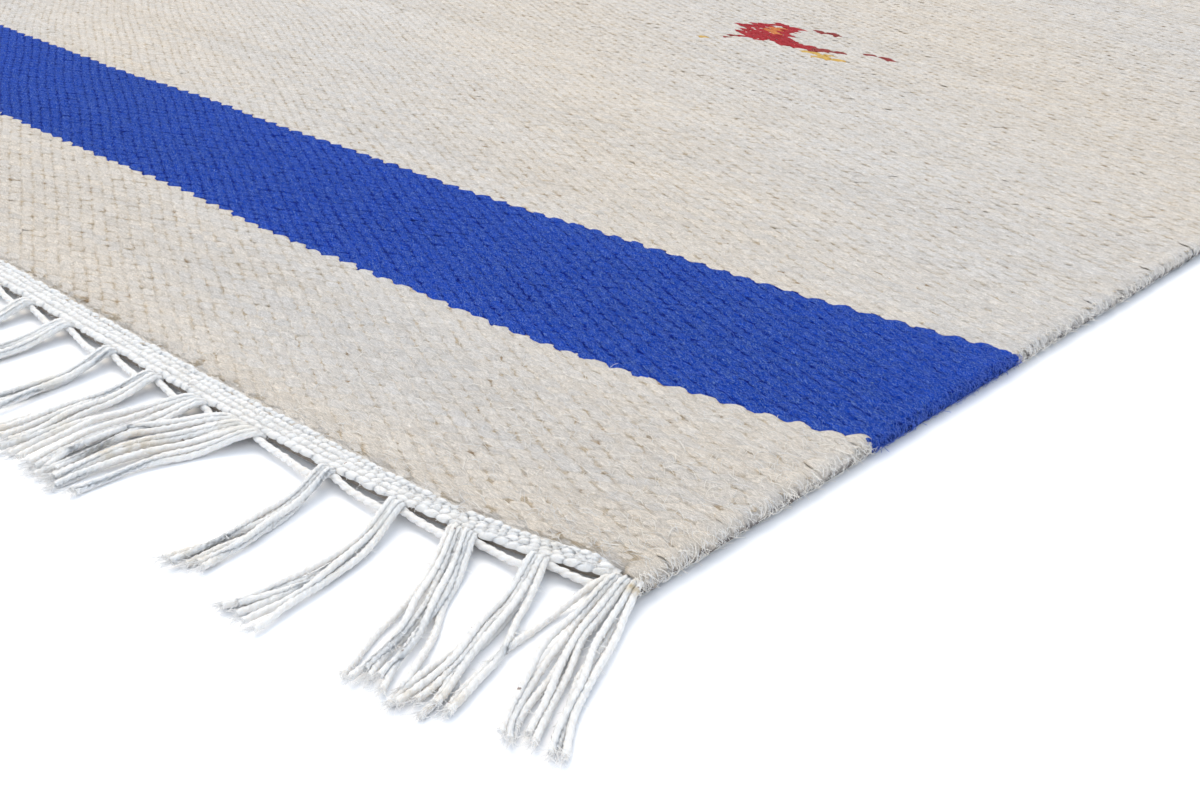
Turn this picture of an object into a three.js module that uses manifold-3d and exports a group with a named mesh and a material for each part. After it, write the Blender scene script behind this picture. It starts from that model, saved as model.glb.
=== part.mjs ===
// A flat-woven kilim rug lying flat on the floor: a wool panel with rounded woven selvedges, a cotton band
// across each end, and a cotton fringe tied over a linking cord outside each band.
// Units are millimetres and +Z is up. The origin is on the floor under the middle of the rug. X runs from
// selvedge to selvedge, the weft's way, and Y along the warps. The near end is the one towards -Y, and the
// near selvedge the one towards +X.
import * as THREE from "three";
import { mergeVertices } from "three/addons/utils/BufferGeometryUtils.js";
import Module from "manifold-3d";

// Driving dimensions
const rugWidth = 600; // selvedge to selvedge
const rugLength = 900; // outer side of one end band to that of the other, down the middle
const panelThickness = 5; // wool weft packed over cotton warps
const pieceGap = 0.3; // between pieces that meet

const endSetback = 18; // how far a corner lies behind the middle of its end, where the wefts draw in
const endSetbackReach = 38; // distance from the selvedge over which that setback dies away
const cornerTuck = 1; // how far a selvedge turns in at its corners
const cornerTuckReach = 12;
const cornerLobe = 4.4; // how far the wool at a corner reaches beside the end of the band
const lobeFullTo = 3.6; // distance from the selvedge up to which the lobe is full
const lobeEndsAt = 5;
const selvedgeWander = 0.7; // slow sideways wander of the hand-beaten selvedges
const selvedgeWanderLength = 310;
const topUnevenness = 0.3; // gentle rise and fall of the upper face
const topUnevennessLength = 170; // from one rise to the next, across the rug
const topUnevennessStretch = 1.3; // the rises are this much longer along the rug

const bandWidth = 7.5; // cotton band, across its three rows of twining
const bandCornerWidth = 4.3; // the same where it is pulled tight, towards the corners
const bandNarrowFrom = 95; // distance from the selvedge where the band starts to narrow
const bandNarrowTo = 25;
const bandThickness = 4.2;
const bandUnderside = 1.2; // its outer side stands this far off the floor
const bandInset = 6.2; // the band stops this far inside the selvedge

const cordOffset = 1.9; // from the band's outer side to the middle of the linking cord
const cordRadius = 0.8;
const cordHeight = 2.2; // middle of the cord over the floor

const rootDepth = 3.2; // tied root of a tassel, outwards from the band
const rootHeight = 3.4;
const rootFloorGap = 0.5;
const rootMargin = 0.8; // the root is this much wider than its strands, on each side
const strandWidth = 1.3;
const strandHeight = 1.4;
const strandStart = 2.4; // from the root's inner side to where its strands begin inside it
const strandRootLift = 1.1; // underside of a strand over the floor inside its root
const strandLanding = 0.25; // share of its length after which a strand lies on the floor
const strandRoomShare = 0.7; // a strand fills at most this share of the room between two of them
const strandTipShare = 0.6; // width of the cut tip, as a share of the strand's

// Numbers of steps
const columnsPerHalf = 9; // from a selvedge to the middle
const columnGrading = 2.2; // above 1, the columns crowd towards the selvedges, where the ends curve
const rowsPerHalf = 11;
const rowGrading = 1.5;
const selvedgeSteps = 3; // facets of a selvedge's quarter round

// Tassels that are laid out by hand, counted along the near end from the near selvedge. Lengths are in
// millimetres and angles in degrees. A positive lean swings the strands towards the near selvedge.
const handLaidTassels = [
  { root: 6.2, strands: 7, spread: 5.6, length: 40.5, lean: 30.5, fan: 12, sway: 0, stray: -7.5 },
  { root: 20.3, strands: 5, spread: 4.6, length: 42, lean: 21, fan: 10, sway: 0, stray: 0 },
  { root: 37.8, strands: 6, spread: 5.4, length: 41.5, lean: 28, fan: 9, sway: 1, stray: -6 },
  { root: 54.5, strands: 5, spread: 4.8, length: 39.5, lean: 10, fan: 8, sway: 3.5, stray: 0 },
  { root: 74.4, strands: 5, spread: 4.8, length: 36, lean: 10, fan: 8, sway: 2.5, stray: 0 },
  { root: 100, strands: 5, spread: 5.2, length: 36, lean: -18, fan: 8, sway: -4.5, stray: 0 },
  { root: 118.5, strands: 5, spread: 5, length: 37, lean: -5, fan: 9, sway: -4, stray: -4 },
  { root: 137.3, strands: 5, spread: 5, length: 36, lean: -1, fan: 12, sway: 0, stray: 0 },
  { root: 157, strands: 5, spread: 5, length: 38, lean: 2, fan: 9, sway: 2.5, stray: 0 },
  { root: 178.5, strands: 5, spread: 5, length: 39, lean: 1, fan: 11, sway: 0, stray: 0 },
  { root: 198, strands: 5, spread: 5, length: 40, lean: 5, fan: 9, sway: 1, stray: 0 },
];

// The other tassels are laid out by a rule. Each value strays from its middle by up to its stray, and the
// lean also swings slowly from tassel to tassel, with a step in radians.
const tasselPitch = 19.8;
const lastTasselInset = 6.2; // from the selvedge to the root of the outermost tassel
const cornerTassel = { strands: 6, spread: 5.6, rootStray: 0 };
const ruledTassel = { strands: 4, spread: 4.9, rootStray: 1.4 }; // every second one has a strand more
const ruledLength = { middle: 41, stray: 2.5 };
const ruledLean = { middle: 9, swing: 4, step: 1.1, stray: 2 };
const ruledFan = { middle: 10, stray: 2 };

const halfWidth = rugWidth / 2;
const halfLength = rugLength / 2;
const selvedgeRadius = panelThickness / 2;

const wool = new THREE.MeshStandardMaterial({ color: 0xd6ccbf, roughness: 0.95, metalness: 0 });
const cotton = new THREE.MeshStandardMaterial({ color: 0xeeebe4, roughness: 0.9, metalness: 0 });

const wasm = await Module();
wasm.setup();

// A repeatable number from -1 to 1 for the item with this count, different for each salt.
function uneven(count, salt) {
  const wave = Math.sin(count * 12.9898 + salt * 78.233) * 43758.5453;
  return 2 * (wave - Math.floor(wave)) - 1;
}

// Distances from an edge inwards, closer together near the edge.
function gradedSteps(depth, count, grading) {
  return Array.from({ length: count + 1 }, (_, i) => depth * (i / count) ** grading);
}

// How far the outer side of an end band lies from the middle of the rug: least at the corners, where the
// wefts draw in.
function endReach(x) {
  return halfLength - endSetback * Math.exp(-(halfWidth - Math.abs(x)) / endSetbackReach);
}

function bandWidthAt(x) {
  const fromSelvedge = halfWidth - Math.abs(x);
  const fullness = THREE.MathUtils.smoothstep(fromSelvedge, bandNarrowTo, bandNarrowFrom);
  return THREE.MathUtils.lerp(bandCornerWidth, bandWidth, fullness);
}

// How far the panel's end lies from the middle of the rug. Its corners reach out beside the band's ends.
function panelReach(x) {
  const fromSelvedge = halfWidth - Math.abs(x);
  const lobe = cornerLobe * (1 - THREE.MathUtils.smoothstep(fromSelvedge, lobeFullTo, lobeEndsAt));
  return endReach(x) - bandWidthAt(x) - pieceGap + lobe;
}

// Half the rug's width at this distance from an end, on the side with this sign of X.
function selvedgeX(fromEnd, side) {
  const tuck = cornerTuck * Math.exp(-fromEnd / cornerTuckReach);
  const phase = (2 * Math.PI * fromEnd) / selvedgeWanderLength;
  return halfWidth - tuck + (selvedgeWander / 2) * (Math.cos(phase + side) - 1);
}

function topHeight(x, y) {
  const across = Math.sin((2 * Math.PI * x) / topUnevennessLength);
  const along = Math.cos((2 * Math.PI * y) / (topUnevennessStretch * topUnevennessLength));
  return panelThickness + (topUnevenness / 2) * (across * along - 1);
}

// A closed body from rings of points that follow one another, each ring turning left when seen from the
// body's far end. The rings' points are joined in order, and capTriangles closes each end.
function loftedGeometry(rings, capTriangles) {
  const around = rings[0].length;
  const positions = rings.flat().flatMap((point) => point.toArray());
  const index = [];
  for (let ring = 0; ring + 1 < rings.length; ring++) {
    for (let i = 0; i < around; i++) {
      const a = ring * around + i;
      const b = ring * around + ((i + 1) % around);
      index.push(a, b, b + around, a, b + around, a + around);
    }
  }
  const lastRing = (rings.length - 1) * around;
  for (const [a, b, c] of capTriangles) {
    index.push(a, c, b, lastRing + a, lastRing + b, lastRing + c);
  }
  const geometry = new THREE.BufferGeometry();
  geometry.setAttribute("position", new THREE.Float32BufferAttribute(positions, 3));
  geometry.setIndex(index);
  return geometry;
}

function fanTriangles(around) {
  return Array.from({ length: around - 2 }, (_, i) => [0, i + 1, i + 2]);
}

function solidFromGeometry(geometry) {
  const bare = geometry.clone();
  bare.deleteAttribute("normal");
  bare.deleteAttribute("uv");
  const merged = mergeVertices(bare, 1e-4);
  return new wasm.Manifold(
    new wasm.Mesh({
      numProp: 3,
      vertProperties: merged.attributes.position.array,
      triVerts: new Uint32Array(merged.index.array),
    }),
  );
}

function geometryFromSolid(solid) {
  const mesh = solid.getMesh();
  const geometry = new THREE.BufferGeometry();
  geometry.setAttribute("position", new THREE.BufferAttribute(mesh.vertProperties, 3));
  geometry.setIndex(new THREE.BufferAttribute(mesh.triVerts, 1));
  geometry.computeVertexNormals();
  return geometry;
}

function namedMesh(name, geometry, material) {
  geometry.computeVertexNormals();
  const mesh = new THREE.Mesh(geometry, material);
  mesh.name = name;
  return mesh;
}

// Columns of the panel as shares of the half width, with the heights of its section at each selvedge.
function panelColumns() {
  const inward = gradedSteps(halfWidth - selvedgeRadius, columnsPerHalf, columnGrading);
  const round = Array.from({ length: selvedgeSteps }, (_, i) => {
    const angle = ((i / selvedgeSteps) * Math.PI) / 2;
    return { inset: selvedgeRadius * (1 - Math.cos(angle)), fullness: Math.sin(angle) };
  });
  const flat = inward.map((step) => ({ inset: selvedgeRadius + step, fullness: 1 }));
  const half = [...round, ...flat];
  const right = half.map((column) => ({ ...column, side: 1 }));
  const left = half.slice(0, -1).map((column) => ({ ...column, side: -1 }));
  return [...right, ...left.reverse()];
}

// Rows of the panel from the near end to the far one, as shares of its reach: -1, then up to 1.
function rowsAlongPanel() {
  const near = gradedSteps(1, rowsPerHalf, rowGrading).map((step) => step - 1);
  const far = near.slice(0, -1).map((row) => -row);
  return [...near, ...far.reverse()];
}

// The woven panel: one section from selvedge to selvedge at each row, its underside flat on the floor.
function wovenPanel() {
  const columns = panelColumns();
  const rings = rowsAlongPanel().map((row) => {
    const lower = [];
    const upper = [];
    for (const { inset, fullness, side } of columns) {
      const x = side * (selvedgeX(halfLength * (1 - Math.abs(row)), side) - inset);
      const y = row * panelReach(x);
      const top = selvedgeRadius + fullness * (topHeight(x, y) - selvedgeRadius);
      lower.push(new THREE.Vector3(x, y, selvedgeRadius * (1 - fullness)));
      upper.push(new THREE.Vector3(x, y, top));
    }
    const innerUpper = upper.slice(1, -1).reverse();
    return [...lower, ...innerUpper];
  });
  const last = columns.length - 1;
  const around = rings[0].length;
  const cap = [];
  for (let i = 0; i < last; i++) {
    const above = (around - i) % around;
    const nextAbove = i + 1 === last ? last : around - i - 1;
    if (i > 0) cap.push([i, i + 1, above]);
    if (i + 1 < last) cap.push([i + 1, nextAbove, above]);
  }
  return namedMesh("woven_panel", loftedGeometry(rings, cap), wool);
}

// X of the band's rings: the panel's own flat columns, so that the two stay parallel, but for the first
// and last, which end the band.
function bandStations() {
  const clear = panelColumns().filter((column) => column.inset > bandInset);
  const stations = clear.map(({ inset, side }) => side * (selvedgeX(0, side) - inset));
  return [halfWidth - bandInset, ...stations, bandInset - halfWidth];
}

// Rings that run from the near selvedge on and whose points start outwards along the floor face out at the
// near end. The far end mirrors them, so each ring is reversed there.
function turnedOutwards(rings, end) {
  return end < 0 ? rings : rings.map((ring) => [...ring].reverse());
}

// The cotton band across one end: a flat strip with rounded upper edges.
function endBand(name, end) {
  const section = [
    { out: 0, up: 0 },
    { out: 0.6, up: 0 },
    { out: 1, up: bandUnderside },
    { out: 1, up: 0.65 * bandThickness },
    { out: 0.84, up: 0.95 * bandThickness },
    { out: 0.5, up: bandThickness },
    { out: 0.14, up: bandThickness },
    { out: 0, up: 0.8 * bandThickness },
  ];
  const rings = bandStations().map((x) => {
    const inner = endReach(x) - bandWidthAt(x);
    return section.map(({ out, up }) => new THREE.Vector3(x, end * (inner + out * bandWidthAt(x)), up));
  });
  return namedMesh(name, loftedGeometry(turnedOutwards(rings, end), fanTriangles(section.length)), cotton);
}

// All tassels of one end, from the near selvedge on. The near end starts with those laid out by hand.
function tasselsOfEnd(end) {
  const laid = end < 0 ? handLaidTassels : [];
  const first = laid.length ? laid.at(-1).root : lastTasselInset - tasselPitch;
  const room = rugWidth - lastTasselInset - first;
  const count = Math.round(room / tasselPitch);
  const salt = end + 2;
  const ruled = Array.from({ length: count }, (_, i) => {
    const outermost = i === count - 1 || (i === 0 && !laid.length);
    const kind = outermost ? cornerTassel : ruledTassel;
    const swing = ruledLean.swing * Math.sin(ruledLean.step * i + salt);
    return {
      root: first + ((i + 1) * room) / count + kind.rootStray * uneven(i, salt),
      strands: kind.strands + (outermost ? 0 : i % 2),
      spread: kind.spread,
      length: ruledLength.middle + ruledLength.stray * uneven(i, salt + 3),
      lean: ruledLean.middle + swing + ruledLean.stray * uneven(i, salt + 6),
      fan: ruledFan.middle + ruledFan.stray * uneven(i, salt + 9),
      sway: 0,
      stray: 0,
    };
  });
  return [...laid, ...ruled];
}

// Y of the point that lies this far outside the band, at one end.
function outsideBandY(x, end, distance) {
  return end * (endReach(x) + distance);
}

// One strand: a three-sided yarn that comes down from its root and then rests level on the floor. It
// follows a quadratic curve from its root to its tip, and a straight one needs no step on the way. The
// room beside it grows evenly from its root to its tip.
function strandGeometry(start, tip, sway, rootRoom, tipRoom) {
  const bend = start.clone().lerp(tip, 0.5);
  bend.x += 2 * sway;
  const path = new THREE.QuadraticBezierCurve(start, bend, tip);
  const steps = [
    { share: 0, lift: strandRootLift, fullness: 1 },
    { share: strandLanding, lift: 0, fullness: 1 },
    ...(sway === 0 ? [] : [{ share: (1 + strandLanding) / 2, lift: 0, fullness: 1 }]),
    { share: 1, lift: 0, fullness: strandTipShare },
  ];
  const rings = steps.map(({ share, lift, fullness }) => {
    const room = THREE.MathUtils.lerp(rootRoom, tipRoom, share);
    const width = fullness * Math.min(strandWidth, strandRoomShare * room);
    const at = path.getPoint(share);
    const ahead = path.getTangent(share);
    const side = new THREE.Vector2(ahead.y, -ahead.x).multiplyScalar(width / 2);
    return [
      new THREE.Vector3(at.x - side.x, at.y - side.y, lift),
      new THREE.Vector3(at.x, at.y, lift + fullness * strandHeight),
      new THREE.Vector3(at.x + side.x, at.y + side.y, lift),
    ];
  });
  return loftedGeometry(rings, fanTriangles(3));
}

// The tied root of a tassel: a low bundle beside the band, with an upright face where its strands leave.
function rootGeometry(rootX, end, width) {
  const section = [
    { out: 0.05, up: 0.15 },
    { out: 1, up: 0 },
    { out: 1, up: 0.8 },
    { out: 0.6, up: 1 },
    { out: 0.1, up: 0.9 },
  ];
  const slices = [
    { along: 0.5, fullness: 0.45 },
    { along: 0.38, fullness: 1 },
    { along: -0.38, fullness: 1 },
    { along: -0.5, fullness: 0.45 },
  ];
  const rings = slices.map(({ along, fullness }) => {
    const x = rootX + along * width;
    return section.map(({ out, up }) => {
      const outwards = pieceGap + rootDepth * (0.5 + (out - 0.5) * fullness);
      const height = rootFloorGap + rootHeight * (0.5 + (up - 0.5) * fullness);
      return new THREE.Vector3(x, outsideBandY(x, end, outwards), height);
    });
  });
  return loftedGeometry(turnedOutwards(rings, end), fanTriangles(section.length));
}

function tasselSolids(tassel, end) {
  const rootX = halfWidth - tassel.root;
  const gaps = tassel.strands - 1;
  const rootRoom = (tassel.spread / gaps) * Math.cos(THREE.MathUtils.degToRad(tassel.lean));
  const tipRoom = rootRoom + (tassel.length * THREE.MathUtils.degToRad(tassel.fan)) / gaps;
  const root = rootGeometry(rootX, end, tassel.spread + 2 * rootMargin);
  const solids = [solidFromGeometry(root)];
  for (let i = 0; i < tassel.strands; i++) {
    // From -1, on the side away from the near selvedge, to 1.
    const place = (2 * i) / gaps - 1;
    const drift = i === 0 ? tassel.stray : 0;
    const angle = THREE.MathUtils.degToRad(tassel.lean + (place * tassel.fan) / 2 + drift);
    const startX = rootX + (place * tassel.spread) / 2;
    const start = new THREE.Vector2(startX, outsideBandY(startX, end, pieceGap + strandStart));
    const tip = new THREE.Vector2(
      start.x + tassel.length * Math.sin(angle),
      start.y + end * tassel.length * Math.cos(angle),
    );
    solids.push(solidFromGeometry(strandGeometry(start, tip, tassel.sway, rootRoom, tipRoom)));
  }
  return solids;
}

// The linking cord runs outside the band, from root to root.
function linkingCordGeometry(tassels, end) {
  const sides = 6;
  const rings = tassels.map((tassel) => {
    const x = halfWidth - tassel.root;
    const y = outsideBandY(x, end, cordOffset);
    return Array.from({ length: sides }, (_, i) => {
      const turn = (2 * Math.PI * i) / sides;
      const out = cordRadius * Math.cos(turn);
      return new THREE.Vector3(x, y + out, cordHeight - cordRadius * Math.sin(turn));
    });
  });
  return loftedGeometry(rings, fanTriangles(sides));
}

// The fringe of one end: linking cord, tied roots and strands, fused into one body.
function fringe(name, end) {
  const tassels = tasselsOfEnd(end);
  const cord = solidFromGeometry(linkingCordGeometry(tassels, end));
  const solids = tassels.flatMap((tassel) => tasselSolids(tassel, end));
  const body = wasm.Manifold.union([cord, ...solids]);
  return namedMesh(name, geometryFromSolid(body), cotton);
}

const rug = new THREE.Group();
rug.add(wovenPanel());
rug.add(endBand("end_band_near", -1));
rug.add(endBand("end_band_far", 1));
rug.add(fringe("fringe_near", -1));
rug.add(fringe("fringe_far", 1));

export default rug;
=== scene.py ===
# %% [markdown]
# # A flat-woven rug, float by float
#
# A kilim has no pile. Thick wool wefts run over and under thin cotton warps and are beaten down so hard that
# only the wool shows, as rows of small rounded floats. Each end is closed by a flat cotton band, and the cut
# warps hang out of it as a fringe. This lesson builds all of that as real shapes, and keeps node materials
# for what is finer than a yarn: fibres, flecks and soiling, and painted shade in hollows, grooves and under
# edges, with a painted sheen on the wool.
#
# The imported model is the frame. It gives the true size and place of every piece, so each piece of yarn goes
# where the model says, and nothing is fitted by eye.

# %% Load the imported model
import math

import bpy
import numpy as np
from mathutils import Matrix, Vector


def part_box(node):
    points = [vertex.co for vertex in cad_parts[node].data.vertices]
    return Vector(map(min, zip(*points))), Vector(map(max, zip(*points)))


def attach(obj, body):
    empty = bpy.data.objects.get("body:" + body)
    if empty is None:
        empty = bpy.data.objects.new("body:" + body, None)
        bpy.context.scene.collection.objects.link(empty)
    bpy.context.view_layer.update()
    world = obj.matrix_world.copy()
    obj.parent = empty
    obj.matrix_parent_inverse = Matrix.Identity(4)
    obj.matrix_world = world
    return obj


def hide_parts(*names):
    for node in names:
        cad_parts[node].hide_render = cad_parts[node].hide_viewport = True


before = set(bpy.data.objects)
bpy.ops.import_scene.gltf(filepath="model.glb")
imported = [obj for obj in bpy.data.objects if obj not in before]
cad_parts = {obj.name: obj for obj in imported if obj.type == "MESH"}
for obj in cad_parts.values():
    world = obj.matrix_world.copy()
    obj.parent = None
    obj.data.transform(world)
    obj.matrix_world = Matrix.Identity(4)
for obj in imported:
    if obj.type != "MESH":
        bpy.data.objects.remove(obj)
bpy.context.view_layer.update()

print("nodes in the frame:", sorted(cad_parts))

# %% [markdown]
# ## Numbers that look random but aren't
#
# Hand-made cloth is uneven, and a script has to give the same rug each time it runs. One small function
# gives a repeatable number for each count, and every uneven size below comes from it. Its second number, the
# salt, keeps one use apart from another.

# %% A repeatable uneven number
MM = 0.001  # sizes are written in millimetres, and Blender counts in metres


def uneven(count, salt):
    """A number from -1 to 1 for each count, the same in every run."""
    wave = np.sin(np.asarray(count) * 12.9898 + salt * 78.233) * 43758.5453
    return 2 * (wave - np.floor(wave)) - 1


def vary(count, salt):
    """The same for one count, as a plain number."""
    return float(uneven(count, salt))


def smooth_step(value, low, high):
    """0 up to low, 1 from high on, and a soft rise in between."""
    share = np.clip((np.asarray(value, float) - low) / (high - low), 0, 1)
    return share * share * (3 - 2 * share)


print("three uneven numbers:", np.round(uneven([1, 2, 3], 4), 2))

# %% [markdown]
# ## The camera
#
# The rug was looked at from low over one corner. The corner of the frame's panel and the direction in which
# the camera looks are enough to place it: a heading around the upright axis, an angle below the horizon, and
# the distance from the corner along all three axes.

# %% Place the camera
scene = bpy.context.scene
panel_low, panel_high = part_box("woven_panel")
camera_heading = math.radians(44.28)
camera_dip = math.radians(27.32)
camera_place = Vector((0.4384, -0.5868, 0.147))

camera_data = bpy.data.cameras.new("view")
camera_data.sensor_width = 36
camera_data.lens = 42.63
camera_data.clip_start = 0.005
camera_data.clip_end = 50
camera = bpy.data.objects.new("view", camera_data)
camera.location = camera_place
camera.rotation_euler = (math.pi / 2 - camera_dip, 0, camera_heading)
scene.collection.objects.link(camera)
scene.camera = camera
corner = Vector((panel_high.x, panel_low.y, panel_high.z))
print("camera to the near corner:", round((camera_place - corner).length, 3), "m")

# %% [markdown]
# ## Floor and light
#
# The rug lies on a white studio floor in soft light, so shadows are short, pale and a little blue. A big
# warm lamp, high up behind the rug and to the left, gives the floats their shape. Bright surroundings fill
# the hollows, and as they are bluer than the lamp, they alone tint the shadows. A small lamp behind the
# camera lifts what faces it at the near corner.

# %% Lay the floor and hang the lamps
def fill(tree, node, inputs):
    """Links outputs of other nodes to a node, and writes plain values into its other inputs."""
    for key, value in inputs.items():
        if isinstance(value, bpy.types.NodeSocket):
            tree.links.new(value, node.inputs[key])
        else:
            node.inputs[key].default_value = value


def add_node(tree, kind, inputs=None, **settings):
    """Adds a node, changes its settings and fills its inputs."""
    made = tree.nodes.new(kind)
    for key, value in settings.items():
        setattr(made, key, value)
    fill(tree, made, inputs or {})
    return made


def new_material(name):
    """A material, its tree and its shader."""
    material = bpy.data.materials.new(name)
    material.use_nodes = True
    return material, material.node_tree, material.node_tree.nodes["Principled BSDF"]


floor_material, floor_tree, floor_shader = new_material("studio_floor")
fill(floor_tree, floor_shader, {"Base Color": (0.93, 0.93, 0.94, 1), "Roughness": 0.9})
floor_reach = 6
floor_mesh = bpy.data.meshes.new("floor")
floor_corners = [(x * floor_reach, y * floor_reach, 0) for x, y in ((-1, -1), (1, -1), (1, 1), (-1, 1))]
floor_mesh.from_pydata(floor_corners, [], [(0, 1, 2, 3)])
floor_mesh.materials.append(floor_material)
floor = bpy.data.objects.new("floor", floor_mesh)
scene.collection.objects.link(floor)

world = bpy.data.worlds.new("surroundings")
world.use_nodes = True
background = world.node_tree.nodes["Background"]
fill(world.node_tree, background, {"Color": (0.75, 0.86, 1, 1), "Strength": 1.06})
scene.world = world
scene.view_settings.view_transform = "Standard"


def hang_lamp(name, place, target, size, power, colour):
    """A round lamp of this width and power that shines at its target."""
    lamp_data = bpy.data.lights.new(name, "AREA")
    lamp_data.shape = "DISK"
    lamp_data.size = size
    lamp_data.energy = power
    lamp_data.color = colour
    lamp = bpy.data.objects.new(name, lamp_data)
    lamp.location = place
    aim = Vector(target) - Vector(place)
    lamp.rotation_euler = aim.to_track_quat("-Z", "Y").to_euler()
    scene.collection.objects.link(lamp)


hang_lamp("main_lamp", (-3.95, 1.45, 7.5), (0.1, -0.2, 0), 8.25, 612, (1, 0.85, 0.66))
hang_lamp("fill_lamp", (1.5, -1.9, 1.4), (0.3, -0.44, 0), 2.0, 17, (1, 0.97, 0.97))

# %% [markdown]
# ## Where each weft lies
#
# A weft isn't quite straight. It is drawn in at the selvedges, so it curls towards the middle of the rug as
# it reaches them, most near the ends. `weft_y` gives the place of every pick, as one passage of the weft is
# called, from its distance to the selvedge. All of the cloth below is laid on it: floats, stripe and motif.

# %% Follow one pick across the rug
half_width = panel_high.x / MM
half_length = panel_high.y / MM
panel_top = panel_high.z / MM
warp_pitch = 3.75
pick_pitch = 1.8
last_warp_x = 298.0
outer_reach = 450  # from the middle of the rug to the outer side of a band
end_setback = 18  # how far the ends lie back at the selvedges
setback_reach = 38
band_width = 7.5
band_corner_width = 4.3
band_narrow_from = 95  # from the selvedge, as the next number
band_narrow_to = 25
piece_gap = 0.3
corner_lobe = 3.7  # how far the selvedge runs on past the end of a band
lobe_full_to = 3.6
lobe_ends_at = 5
curl_height = 16.5  # of a weft at the selvedge, near an end
curl_lost = 2.5
curl_widens = 36
curl_fades_from = 130  # from the end


def band_width_at(from_selvedge):
    """A band is narrower near the selvedges."""
    fullness = smooth_step(from_selvedge, band_narrow_to, band_narrow_from)
    return band_corner_width + (band_width - band_corner_width) * fullness


def end_reach(from_selvedge):
    """From the middle of the rug to the outer side of the band, at this distance from the selvedge."""
    return outer_reach - end_setback * np.exp(-from_selvedge / setback_reach)


def weft_rise(from_selvedge, from_end):
    """How far a weft is drawn in towards the middle of the rug."""
    at_band = half_length - end_reach(from_selvedge) + band_width_at(from_selvedge) + piece_gap
    at_band = at_band - corner_lobe * (1 - smooth_step(from_selvedge, lobe_full_to, lobe_ends_at))
    reach = setback_reach + curl_widens * smooth_step(from_end, 55, curl_fades_from)
    height = curl_height - curl_lost * smooth_step(from_end, 40, curl_fades_from)
    inside = height * np.exp(-from_selvedge / reach)
    near_end = 1 - smooth_step(from_end, 0, 45)
    rise = near_end * at_band + (1 - near_end) * inside
    return rise * (1 - smooth_step(from_end, curl_fades_from, half_length))


def weft_y(x, from_end, end):
    """Y of the pick that lies this far from an end down the middle. end is -1 for the near end."""
    from_selvedge = half_width - np.abs(x)
    wave = 0.7 * np.sin(x / 38 + from_end / 60) + 0.5 * np.sin(x / 17 - from_end / 45)
    wave = wave * smooth_step(from_end, 5, 60) * (1 - smooth_step(from_end, 330, half_length))
    return -end * (from_end - half_length + weft_rise(from_selvedge, from_end) + wave)


print("a pick 60 mm from the end:", np.round(weft_y(np.array([0, 200, 298]), 60, -1), 1))

# %% [markdown]
# ## Dyed wefts: stripe and motif
#
# A blue stripe crosses the rug near each end, and small birds are scattered over the field. In a kilim they
# are not printed: the weaver changes to another wool for those floats. So colour belongs to a float, and an
# edge between two colours shows the small teeth of the weave. The bird is charted one letter for each float,
# as a weaver would.

# %% Choose the wool of every float
WOOL = {
    "natural": (0.655, 0.612, 0.562),
    "blue": (0.005, 0.045, 0.375),
    "red": (0.380, 0.022, 0.030),
    "orange": (0.600, 0.200, 0.060),
    "yellow": (0.620, 0.400, 0.110),
    "brown": (0.280, 0.045, 0.040),
}
stripe_from = 63.6  # from the end, as the next number
stripe_to = 124.9
BIRD = """
...RR.R..B.B...........
..RR.RRR...............
.RRROORR...............
RRRROORR...............
.RRRROORR..............
..RRRRRRR........B.....
..RRRRRRRR.........B.BB
...RRRRRRRRRROBBB......
....RRRR.RRRRBBB.......
...B..........YYY......
...B............YYY....
.......................
.Y.....................
.......................
""".split()
BIRD_WOOL = {"R": "red", "O": "orange", "Y": "yellow", "B": "brown"}
birds = [  # the middle of each bird, and the way in which it looks
    {"x": 78, "y": -94, "faces": 1},
    {"x": -165, "y": 20, "faces": -1},
    {"x": 190, "y": 120, "faces": -1},
    {"x": 5, "y": 205, "faces": 1},
    {"x": -205, "y": 262, "faces": 1},
]


def in_stripe(from_end):
    return (from_end > stripe_from) & (from_end < stripe_to)


def wool_at(x, y, from_end, column, pick):
    """The colour of each float, as rows of red, green and blue."""
    colour = np.tile(WOOL["natural"], (len(x), 1))
    # Picks, places on the rug and single floats all differ a little.
    pick_shade = 1 + 0.030 * uneven(pick, 3) + 0.02 * np.sin(pick * 0.21) * np.sin(x / 90)
    warmth = 0.015 * np.sin(x / 47 + y / 35) + 0.015 * uneven(pick * 3 + np.floor(x / 55), 5)
    warmth = warmth + 0.03 * (1 - smooth_step(from_end, 4, 22)) * smooth_step(x, 60, 200)
    colour[in_stripe(from_end)] = WOOL["blue"]
    for bird in birds:
        across = np.floor(bird["faces"] * (x - bird["x"]) / warp_pitch + len(BIRD[0]) / 2).astype(int)
        down = np.floor(len(BIRD) / 2 - (y - bird["y"]) / (2 * pick_pitch)).astype(int)
        inside = (across >= 0) & (across < len(BIRD[0])) & (down >= 0) & (down < len(BIRD))
        for i in np.flatnonzero(inside):
            letter = BIRD[down[i]][across[i]]
            if letter in BIRD_WOOL:
                colour[i] = WOOL[BIRD_WOOL[letter]]
    shade = pick_shade + 0.035 * uneven(column * 7 + pick * 13, 9)
    tint = np.stack([1 + warmth, np.ones(len(x)), 1 - 1.6 * warmth], axis=1)
    return colour * shade[:, None] * tint


print("wools:", ", ".join(WOOL))

# %% [markdown]
# ## The lattice of floats
#
# In plain weave a pick goes over one warp and under the next, and the following pick does the opposite. So
# the floats form a brick pattern: column by column the warps, and in each column a float at every second
# pick. This cell only works out where the floats lie and which way they point.

# %% Lay out the floats
float_lift = 4.26  # height of a float's foot over the floor
first_pick_sinks = 0.42  # where it goes under the band
edge_room = 2.6  # between the outermost floats and the selvedge


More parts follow.
